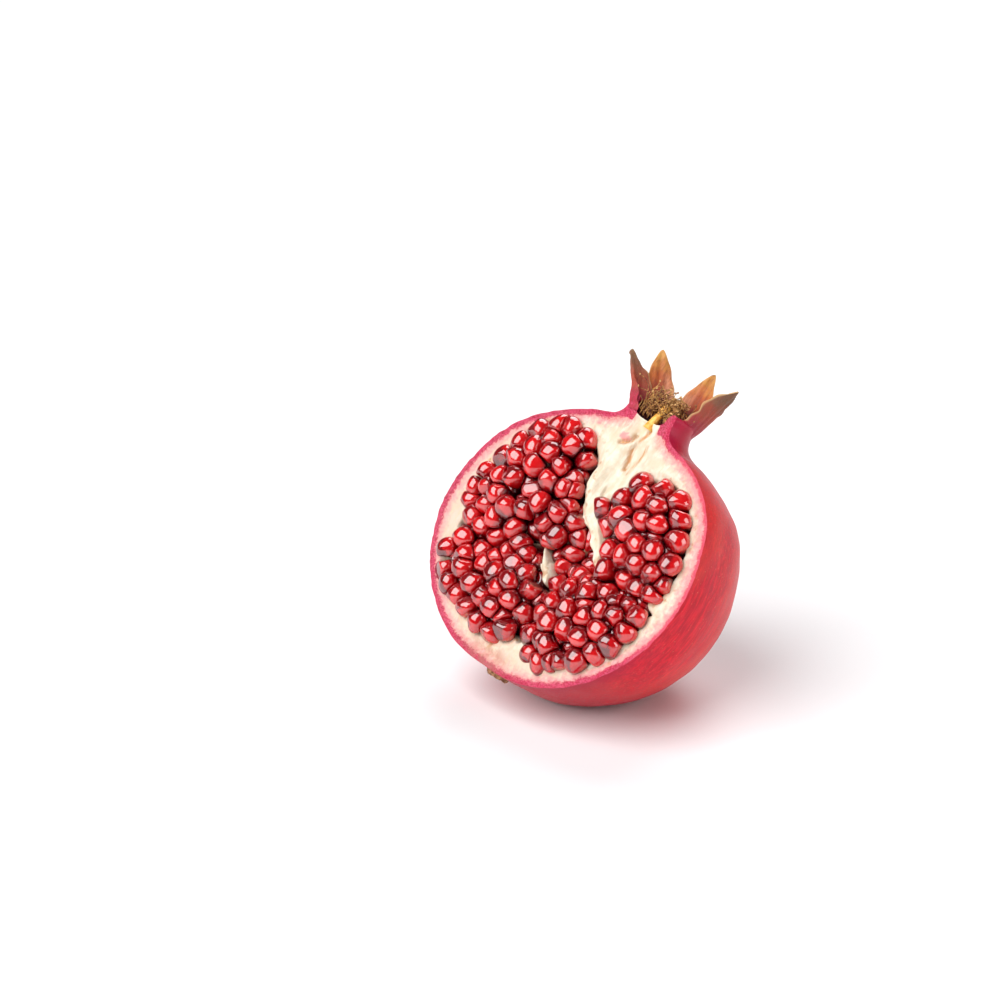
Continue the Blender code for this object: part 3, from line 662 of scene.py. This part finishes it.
def makeLobe(index, spec):
    direction, tipX, tipY, tipZ, width, bow, curl, turn = spec
    a = radians(direction)
    out = np.array((cos(a), sin(a), 0.0))
    centre = np.array((*body["crown"], 0.0))
    root = centre + out * lobes["root"] + (0, 0, lobes["rootZ"])
    tip = centre + (tipX, tipY, tipZ)
    knee = root + (0, 0, 7.8) + out * bow
    rows, cols = lobes["rows"], lobes["columns"]
    points, along, inner, border, across = [], [], [], [], []
    for r in range(rows):
        t = r / (rows - 1)
        p = root * (1 - t) ** 2 + knee * 2 * t * (1 - t) + tip * t * t
        axis = toUnit((knee - root) * (1 - t) + (tip - knee) * t)
        # the root follows the neck, the blade above it turns
        b = a + radians(turn) * float(smooth(t / 0.35 + 0.3))
        side = np.array((-sin(b), cos(b), 0.0))
        side = toUnit(side - axis * (side @ axis))
        face = np.cross(side, axis)
        # the blade twists a little towards its tip
        twist = 0.5 * curl * t * t
        c, s = cos(twist), sin(twist)
        side, face = side * c + face * s, face * c - side * s
        uneven = 1 - 0.10 * sin(3.1 * t + index) + 0.03 * sin(23 * t + 2 * index)
        half = 0.5 * width * (1 - t ** 2.0) ** 0.8 * uneven + 0.25
        thick = lobes["thick"] * (1 - 0.55 * t)
        free = float(smooth((t - 0.05) / 0.25))
        for k in range(cols * 2):
            front = k < cols
            s = -1 + 2 * (k if front else 2 * cols - 1 - k) / (cols - 1)
            cup = (s * half) ** 2 / 17.0 * (1 + 0.4 * sin(5 * t + index))
            rim = abs(s) ** 6
            ruffle = 0.55 * rim * sin(11 * t + 2.3 * s + 1.7 * index) * (0.3 + t)
            ruffle += 0.25 * rim * sin(31 * t + 4.0 * s + 2.9 * index)
            ruffle += 0.16 * sin(2.6 * s * half + 0.8 * index) * (1 - rim)
            lift = 0.5 * thick * (1 - 0.9 * rim) * (1 if front else -1)
            points.append(p + side * s * half - face * (cup - lift - ruffle * free))
            along.append(t)
            inner.append(0.0 if front else 1.0 if index else 0.15)
            border.append(free * (abs(s) if index else max(0.0, -s)))
            # flipped on the first two lobes so that the painted highlight falls on the same side of every
            # lobe
            across.append(s if index > 1 else -s)
    points = np.array(points)
    # the inner side is the one that looks at the crown's axis
    mid = points[(rows // 2) * 2 * cols: (rows // 2 + 1) * 2 * cols]
    reach = np.hypot(mid[:, 0] - centre[0], mid[:, 1] - centre[1])
    if reach[:cols].mean() < reach[cols:].mean():
        inner = [max(inner) - v for v in inner]
    # the knife took what stood in front of the cut
    points[:, 1] = np.maximum(points[:, 1], -0.4 + 0.2 * np.sin(points[:, 2] * 1.3))
    lobe = buildMesh("crownLobe%d" % (index + 1), points, tubeFaces(rows, 2 * cols), [lobeSkin],
                     {"along": along, "inner": inner, "border": border, "across": across})


for number, spec in enumerate(lobes["blades"]):
    makeLobe(number, spec)
print("crown lobes made")


# arils

# heights of the domes over the cut and how far in they are reached, spacing and size in mm
arils = {"dome": {"upper": (6.8, 12.0), "left": (5.6, 9.0), "right": (6.6, 10.0), "lower": (6.0, 9.0),
                  "middle": (-0.6, 4.0)},
         "seeds": {"upper": 11, "left": 29, "right": 35, "lower": 47, "middle": 59},
         "rise": 1.7, "rowSpacing": 6.5, "apart": 7.1, "edge": 1.7, "radius": 4.6, "halfLength": 5.5,
         "lean": 0.42, "pressed": 0.05, "softness": 0.24,
         # gaps that get one more aril, near the outlines sooner, the reach of the low walls, and extras
         "fillGap": 4.6, "edgeFill": 0.9, "overWalls": 2.2, "extra": [(-12.6, -7.4)],
         # second layer: pairs this near, this far down, this far apart
         "pairs": 8.2, "down": (2.6, 3.6), "deepApart": 4.4,
         # room for the standing walls, and the side of each drop where the painted bright heart sits
         "wallRoom": 2.7, "paintedLight": (0.62, 0.35, -0.10)}


def nearestOnOutline(p, outline):
    found = [footOnEdge(p[None, :], a, b) for a, b in zip(outline, np.roll(outline, -1, 0))]
    foot, _, away = min(found, key=lambda one: one[2][0])
    return away[0], foot[0]


def scatterArils(name):
    # the rows start even, then every aril pushes its neighbours away
    outline = closedCurve(chambers[name], 2)
    rng = random.Random(arils["seeds"][name])
    edge = arils["edge"]
    spacing = arils["rowSpacing"]
    low, high = outline.min(0), outline.max(0)
    points = []
    row = 0
    z = low[1] + edge * 0.6
    while z < high[1]:
        x = low[0] + (0.5 * spacing if row % 2 else 0.0) + rng.uniform(-0.8, 0.8)
        while x < high[0]:
            p = np.array((x + rng.uniform(-0.7, 0.7), z + rng.uniform(-0.7, 0.7)))
            if insideDepth(p, outline)[0] > edge * 0.45:
                points.append(p)
            x += spacing
        z += spacing * 0.866
        row += 1
    points = np.array(points)
    for _ in range(60):
        gap = points[:, None, :] - points[None, :, :]
        reach = np.hypot(gap[..., 0], gap[..., 1])
        close = (reach > 1e-6) & (reach < arils["apart"])
        push = np.where(close, (arils["apart"] - reach) * 0.35 / np.maximum(reach, 1e-6), 0.0)
        move = (gap * push[..., None]).sum(1)
        depth = insideDepth(points, outline)
        for i in np.nonzero(depth < edge)[0]:
            away, foot = nearestOnOutline(points[i], outline)
            inwards = (points[i] - foot) / max(away, 1e-9) * (1 if depth[i] > 0 else -1)
            move[i] += inwards * (edge - depth[i]) * 0.5
        points = points + move
    return outline, points


def domeHeight(p, outline, name):
    top, reach = arils["dome"][name]
    s = max(0.0, min(1.0, insideDepth(p, outline)[0] / reach))
    low = min(arils["rise"], top)
    return low + (top - low) * sin(s * pi / 2)


def unitDrop(level):
    bm = bmesh.new()
    bmesh.ops.create_icosphere(bm, subdivisions=level, radius=1.0)
    points = np.array([v.co[:] for v in bm.verts])
    faces = [[v.index for v in f.verts] for f in bm.faces]
    bm.free()
    return points, faces


dropFine = unitDrop(4)
dropCoarse = unitDrop(3)


def frameOf(axis, spin):
    side = toUnit(np.cross(axis, (0.3, 0.9, 0.2)))
    other = np.cross(axis, side)
    c, s = cos(spin), sin(spin)
    return np.stack([side * c + other * s, other * c - side * s, axis])


def pressFlat(points, origin, way, limit, blend):
    # softly moves back what reaches past the limit in one direction
    reach = (points - origin) @ way
    over = reach - (limit - np.logaddexp(0, (limit - reach) / blend) * blend)
    return points - way[None, :] * np.maximum(over, 0)[:, None]


def layAril(unit, aril, axes, rng, neighbours):
    # a blunt drop with a narrow root, flattened where its neighbours press on it
    head, radius, length = aril["head"], aril["radius"], aril["length"]
    t = unit[:, 2]
    p = unit * (radius * 1.05, radius * rng.uniform(0.78, 1.0), length)
    taper = 1 - 0.34 * np.clip(0.2 - t, 0, 1.2) ** 1.2
    p[:, 2] += 0.10 * length * (1 - t * t)
    p[:, :2] *= taper[:, None]
    for _ in range(8):
        a = rng.uniform(0, 2 * pi)
        lift = rng.uniform(-0.25, 0.75)
        way = toUnit((cos(a), sin(a), lift))
        p = pressFlat(p, 0.0, way, radius * rng.uniform(0.70, 0.95) * (1 + 0.25 * abs(lift)), 0.20)
    world = aril["centre"] + p @ axes
    for other in neighbours:
        reach = np.linalg.norm(other - head)
        limit = reach / 2 - arils["pressed"]
        world = pressFlat(world, head, (other - head) / reach, limit, arils["softness"])
    for wall in standingWalls:
        away, foot = wallGap(np.array([[head[0], head[2]]]), wall)
        if away[0] < radius + 1:
            way = toUnit((foot[0, 0] - head[0], 0.0, foot[0, 1] - head[2]))
            world = pressFlat(world, head, way, max(away[0], 0.6) + 0.15, 0.3)
    return world


def placeArils(name):
    # top, axis, radius, half length, layer and chamber of each aril
    outline, spots = scatterArils(name)
    rng = random.Random(arils["seeds"][name] + 500)
    placed = []
    for p in spots:
        here = domeHeight(p, outline, name)
        # the outer ones lean on the pith
        gap, foot = nearestOnOutline(p, outline)
        if gap < 3.0:
            p = p + (foot - p) / max(gap, 0.1) * min(0.3, gap * 0.3)
        slope = [(here - domeHeight(p + step, outline, name)) / 0.4 for step in ((0.4, 0), (0, 0.4))]
        axis = jitter(rng, arils["lean"]) + (slope[0], -1.0, slope[1])
        placed.append({"top": np.array((p[0], -here, p[1])), "axis": toUnit(axis),
                       "radius": arils["radius"] * rng.uniform(0.92, 1.06),
                       "length": arils["halfLength"] * rng.uniform(0.90, 1.06),
                       "layer": 0, "chamber": name})
    return placed


def addBetween(placed, p, rng):
    # one more aril, as high and as steep as the four nearest
    tops = np.array([(q["top"][0], q["top"][2]) for q in placed])
    reach = np.hypot(tops[:, 0] - p[0], tops[:, 1] - p[1])
    close = np.argsort(reach)[:4]
    height = np.mean([placed[k]["top"][1] for k in close]) + rng.uniform(-0.3, 0.7)
    axis = np.sum([placed[k]["axis"] for k in close], 0)
    axis = toUnit(axis + jitter(rng, 0.3))
    placed.append({"top": np.array((p[0], height, p[1])), "axis": axis, "layer": 0,
                   "radius": arils["radius"] * rng.uniform(0.88, 1.0),
                   "length": arils["halfLength"] * rng.uniform(0.9, 1.0),
                   "chamber": placed[int(close[0])]["chamber"]})


def bridgeGaps(placed):
    # arils of one chamber lean over the thin walls to the next and into every gap
    rng = random.Random(77)
    spots = np.array([(x, z) for x in np.arange(-46, 38, 0.7) for z in np.arange(-36, 34, 0.7)])
    inside = np.max([insideDepth(spots, outline) for outline in outlines.values()], 0)
    near = np.min([lineDistance(spots, line) for line in lowWalls[:3]], 0) < arils["overWalls"]
    wanted = (inside > 0.9) | near
    byEdge = np.where(near, 0.0, arils["edgeFill"] * smooth((3.2 - inside) / 1.6))[wanted]
    spots = spots[wanted]
    while True:
        tops = np.array([(q["top"][0], q["top"][2]) for q in placed])
        apart = spots[:, None, :] - tops[None, :, :]
        gaps = np.min(np.hypot(apart[..., 0], apart[..., 1]), 1) + byEdge
        best = int(np.argmax(gaps))
        if gaps[best] < arils["fillGap"]:
            break
        addBetween(placed, spots[best], rng)
    for p in arils["extra"]:
        addBetween(placed, p, rng)
    return placed


def deepLayer(placed):
    # a second layer shows between the drops
    rng = random.Random(78)
    deep = []
    for i, a in enumerate(placed):
        for b in placed[i + 1:]:
            if np.linalg.norm(a["top"] - b["top"]) > arils["pairs"]:
                continue
            axis = toUnit(a["axis"] + b["axis"])
            top = (a["top"] + b["top"]) / 2 - axis * rng.uniform(*arils["down"])
            if all(np.linalg.norm(top - q["top"]) > arils["deepApart"] for q in deep):
                deep.append({"top": top, "axis": axis, "radius": arils["radius"], "layer": 1,
                             "length": arils["halfLength"], "chamber": a["chamber"]})
    return placed + deep


allArils = []
for name in chambers:
    allArils += placeArils(name)
firstCount = len(allArils)
allArils = bridgeGaps(allArils)
print("arils", firstCount, "and", len(allArils) - firstCount, "over the walls")
allArils = deepLayer(allArils)
for q in allArils:
    for wall in standingWalls:
        flat = np.array([[q["top"][0], q["top"][2]]])
        away, foot = wallGap(flat, wall)
        if away[0] < arils["wallRoom"]:
            aside = (flat[0] - foot[0]) / max(1e-6, np.linalg.norm(flat[0] - foot[0]))
            q["top"] = q["top"] + np.array((aside[0], 0, aside[1])) * (arils["wallRoom"] - away[0])
    q["centre"] = q["top"] - q["axis"] * (q["length"] - 0.2)
    q["head"] = q["top"] - q["axis"] * (0.8 * q["radius"])
arilHeads = np.array([q["head"] for q in allArils])
seedPoints, seedFaces = [], []


def makeCluster(name):
    rng = random.Random(arils["seeds"][name] + 900)
    points, faces, tone, along, paintedLight = [], [], [], [], []
    total = 0
    for q in allArils:
        if q["chamber"] != name:
            continue
        axis, radius, length = q["axis"], q["radius"], q["length"]
        reach = np.linalg.norm(arilHeads - q["head"], axis=1)
        near = [arilHeads[k] for k in np.nonzero((reach > 1e-6) & (reach < 9.0))[0]]
        unit, unitFaces = dropCoarse if q["layer"] else dropFine
        axes = frameOf(axis, rng.uniform(0, 6.28))
        world = layAril(unit, q, axes, rng, near)
        points.append(world)
        faces += [[v + total for v in f] for f in unitFaces]
        total += len(world)
        # the ones higher up, towards the crown, are lighter; the rest of the tone is random
        lightness = 0.65 * rng.random() + 0.35 * float(smooth((q["top"][2] + 8) / 24))
        tone += [lightness] * len(world)
        # the deeper layer is shifted down so that its painted shade is darker
        along += (unit[:, 2] - (0.5 if q["layer"] else 0.0)).tolist()
        # painted light: a bright heart fixed on the side of each drop away from the light above
        paintedLightSpot = axis * 1.1 + arils["paintedLight"] + jitter(rng, 0.35)
        paintedLight += smooth((unit @ (axes @ paintedLightSpot / np.linalg.norm(paintedLightSpot)) - 0.35) / 0.6).tolist()
        if q["layer"] == 0:
            first = sum(len(p) for p in seedPoints)
            tip = dropCoarse[0].copy()
            tip[:, :2] *= (1 - 0.45 * np.abs(tip[:, 2:3]) ** 2)
            size = (0.52 * radius, 0.46 * radius, 0.66 * length)
            seedPoints.append(q["centre"] + axis * 0.3 + (tip * size) @ axes)
            seedFaces.extend([[v + first for v in f] for f in dropCoarse[1]])
    cluster = buildMesh("arils" + name.capitalize(), np.concatenate(points), faces, [arilJuice],
                        {"tone": tone, "along": along, "paintedLight": paintedLight})
    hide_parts("arils_" + name)


for name in chambers:
    makeCluster(name)
seeds = buildMesh("arilSeeds", np.concatenate(seedPoints), seedFaces, [arilSeed])
print("arils made")


# stamens, style and stem scar

# filaments in mm: thickness, lowest root, rise, and the lining of the cup as radius and height
tuft = {"count": 210, "thick": 0.16, "seed": 71, "low": 44.6, "rise": (3.0, 10.0), "steps": 15,
        "anther": (0.25, 0.22, 0.46),
        "lining": ((7.9, 47.2), (7.7, 45.6), (7.2, 44.2), (5.8, 43.2), (4.2, 43.0))}


def tubeMesh(line, radii, sides, first):
    line = np.array(line)
    points = []
    side = None
    for i, p in enumerate(line):
        axis = toUnit(line[min(i + 1, len(line) - 1)] - line[max(i - 1, 0)])
        if side is None:
            side = np.cross(axis, (0.2, 0.5, 0.8))
        side = toUnit(side - axis * (side @ axis))
        other = np.cross(axis, side)
        for k in range(sides):
            a = 2 * pi * k / sides
            points.append(p + radii[i] * (side * cos(a) + other * sin(a)))
    return points, tubeFaces(len(line), sides, first)


def makeStamens():
    rng = random.Random(tuft["seed"])
    crown = np.array((*body["crown"], 0.0))
    bean, beanFaces = unitDrop(2)
    steps = [k / (tuft["steps"] - 1) for k in range(tuft["steps"])]
    radii = [tuft["thick"] * (1 - 0.3 * t) for t in steps]
    # lining of the cup that the filaments stand on
    turns = [radians(-36 + 252 * i / 59) for i in range(60)]
    points = [(crown[0] + radius * cos(a), max(0.4, crown[1] + radius * sin(a)), z)
              for radius, z in tuft["lining"] for a in turns]
    faces = gridFaces(len(tuft["lining"]), len(turns), False)
    kinds = [2] * len(faces)
    for number in range(tuft["count"]):
        a = radians(rng.uniform(-35, 215))
        radius = rng.uniform(4.4, 7.4)
        out = np.array((cos(a), sin(a), 0.0))
        root = crown + out * radius + (0, 0, tuft["low"])
        if number % 5 == 0:
            root = np.array((rng.uniform(-7.5, 3.0), rng.uniform(0.7, 2.6), rng.uniform(43.2, 45.0)))
        if root[1] < 0.5:
            continue
        rise = rng.uniform(*tuft["rise"])
        bend = out * rng.uniform(-5.0, -0.6) + (rng.uniform(-0.5, 3.0), rng.uniform(-3.0, 1.2), 0)
        curl, phase, winds = rng.uniform(0.8, 2.0), rng.uniform(0, 6.28), rng.uniform(6, 12)
        line = []
        for t in steps:
            w = winds * t
            wiggle = np.array((cos(w + phase), sin(w + phase), 0.8 * sin(w)))
            upward = (0, 0, rise * (t - 0.12 * t * t))
            line.append(root + upward + bend * t ** 1.7 + wiggle * curl * t * t)
        new, newFaces = tubeMesh(line, radii, 6, len(points))
        points += new
        faces += newFaces
        kinds += [0] * len(newFaces)
        axes = frameOf(np.array((rng.uniform(-1, 1), rng.uniform(-1, 1), rng.uniform(-0.5, 0.5)))
                       + (0, 0, 0.01), rng.uniform(0, 6.28))
        axes /= np.linalg.norm(axes, axis=1)[:, None]
        faces += [[v + len(points) for v in f] for f in beanFaces]
        points += list(line[-1] + (bean * tuft["anther"] * rng.uniform(0.85, 1.15)) @ axes)
        kinds += [1] * len(beanFaces)
    stamens = buildMesh("stamenTuft", np.array(points), faces, [filament, anther, cupLining], indices=kinds)
    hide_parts("stamens")


# foot and rise of the stalk from the crown's centre in mm
stalk = {"foot": (1.4, -4.7, 40.4), "rise": (0.7, 2.2, 8.5), "radius": 1.75, "steps": 15, "sides": 20}


def makeStyle():
    x, y = body["crown"]
    footX, footY, footZ = stalk["foot"]
    riseX, riseY, riseZ = stalk["rise"]
    line, radii = [], []
    for k in range(stalk["steps"]):
        t = k / (stalk["steps"] - 1)
        line.append((x + footX + riseX * t, y + footY + riseY * t * t, footZ + riseZ * t))
        radii.append(stalk["radius"] - 1.4 * t + 1.05 * t ** 3 - 0.65 * max(0.0, t - 0.92) / 0.08)
    points, faces = tubeMesh(line, radii, stalk["sides"], 0)
    points = np.array(points)
    points += (0.08 * waves(points, 81, 1.4))[:, None] * (1, 1, 0)
    style = buildMesh("styleStalk", points, faces, [stylePulp])
    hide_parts("style")


# the woody stub: foot and direction, and its profile as radius and distance from the foot in mm
stub = {"foot": (-3.4, 4.6, -40.6), "axis": (0.05, -0.05, -1.0), "sides": 72, "rows": 41,
        "profile": ((3.2, -2.0), (3.7, 0.2), (3.75, 1.2), (3.5, 2.1), (2.9, 2.7), (2.2, 2.75),
                    (1.7, 2.3), (0.9, 1.9), (0.1, 1.9))}


def makeStemScar():
    axis = toUnit(stub["axis"])
    axes = frameOf(axis, 0.4)
    keys = np.array(stub["profile"])
    spots = np.linspace(0, len(keys) - 1, stub["rows"])
    points = []
    for radius, z in zip(*(np.interp(spots, range(len(keys)), keys[:, k]) for k in (0, 1))):
        for i in range(stub["sides"]):
            a = 2 * pi * i / stub["sides"]
            uneven = 0.07 * cos(3 * a + 1) + 0.04 * cos(5 * a) + 0.03 * cos(11 * a + z)
            r = radius * (1 + uneven)
            points.append(stub["foot"] + (r * cos(a), r * sin(a), z) @ axes)
    points = np.array(points)
    points += axis * (0.22 * waves(points, 91, 1.6) + 0.12 * waves(points, 92, 0.7))[:, None]
    scar = buildMesh("stemScar", points, tubeFaces(stub["rows"], stub["sides"]), [stemWood])
    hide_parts("stem_scar")


makeStamens()
makeStyle()
makeStemScar()
print("stamens, style and stem scar made")


# floor, light and camera

studio = {"floor": (0.87, 0.87, 0.88), "world": 0.06, "aim": (0, 0, 0.04),
          "key": {"place": (-1.20, -0.70, 1.50), "size": 2.3, "power": 72.0},
          "fill": {"place": (1.50, -0.80, 0.62), "size": 1.1, "power": 12.0},
          "back": {"place": (0.60, 1.60, 1.50), "size": 1.6, "power": 30.0}}


def makeStudio():
    bm = bmesh.new()
    bmesh.ops.create_grid(bm, x_segments=2, y_segments=2, size=4.0)
    mesh = bpy.data.meshes.new("floor")
    bm.to_mesh(mesh)
    bm.free()
    n = newMaterial("paleFloor", {"Roughness": 0.55})
    shade = n.noise(n.add("ShaderNodeTexCoord").outputs["Object"], 3.0, 2.0)
    lighter = tuple(v + 0.02 for v in studio["floor"])
    n.join(n.mix(n.range(shade, 0.3, 0.7), studio["floor"], lighter), n.shader.inputs["Base Color"])
    mesh.materials.append(n.material)
    floor = link(bpy.data.objects.new("floor", mesh))
    for name in ("key", "fill", "back"):
        spec = studio[name]
        light = bpy.data.lights.new(name, "AREA")
        light.energy = spec["power"]
        light.size = spec["size"]
        lamp = link(bpy.data.objects.new(name, light))
        lamp.location = spec["place"]
        towards = Vector(studio["aim"]) - Vector(spec["place"])
        lamp.rotation_euler = towards.to_track_quat("-Z", "Y").to_euler()
    world = bpy.data.worlds.new("softRoom")
    world.use_nodes = True
    background = world.node_tree.nodes["Background"].inputs
    background["Color"].default_value = (1.0, 1.0, 1.0, 1.0)
    background["Strength"].default_value = studio["world"]
    bpy.context.scene.world = world
    bpy.context.scene.view_settings.view_transform = "Standard"


# the camera looks 22 degrees down on the fruit, which stands right of the middle of the picture
view = {"down": 22.0, "away": 1.0, "mmPerPixel": 0.2866, "fruitPixel": (575, 550), "pixels": 1000,
        "sensor": 36.0}


def makeCamera():
    down = radians(view["down"])
    up = Vector((0, sin(down), cos(down)))
    ahead = Vector((0, cos(down), -sin(down)))
    scale = view["mmPerPixel"] * 0.001
    right, below = (v - view["pixels"] // 2 for v in view["fruitPixel"])
    camera = bpy.data.cameras.new("photoView")
    camera.lens = view["sensor"] * view["away"] / (view["pixels"] * scale)
    camera.clip_start = 0.01
    eye = link(bpy.data.objects.new("photoView", camera))
    place = Vector(fruitPose["place"]) * 0.001
    eye.location = place - ahead * view["away"] - Vector((1, 0, 0)) * right * scale + up * below * scale
    eye.rotation_euler = (radians(90 - view["down"]), 0, 0)
    bpy.context.scene.camera = eye


makeStudio()
makeCamera()
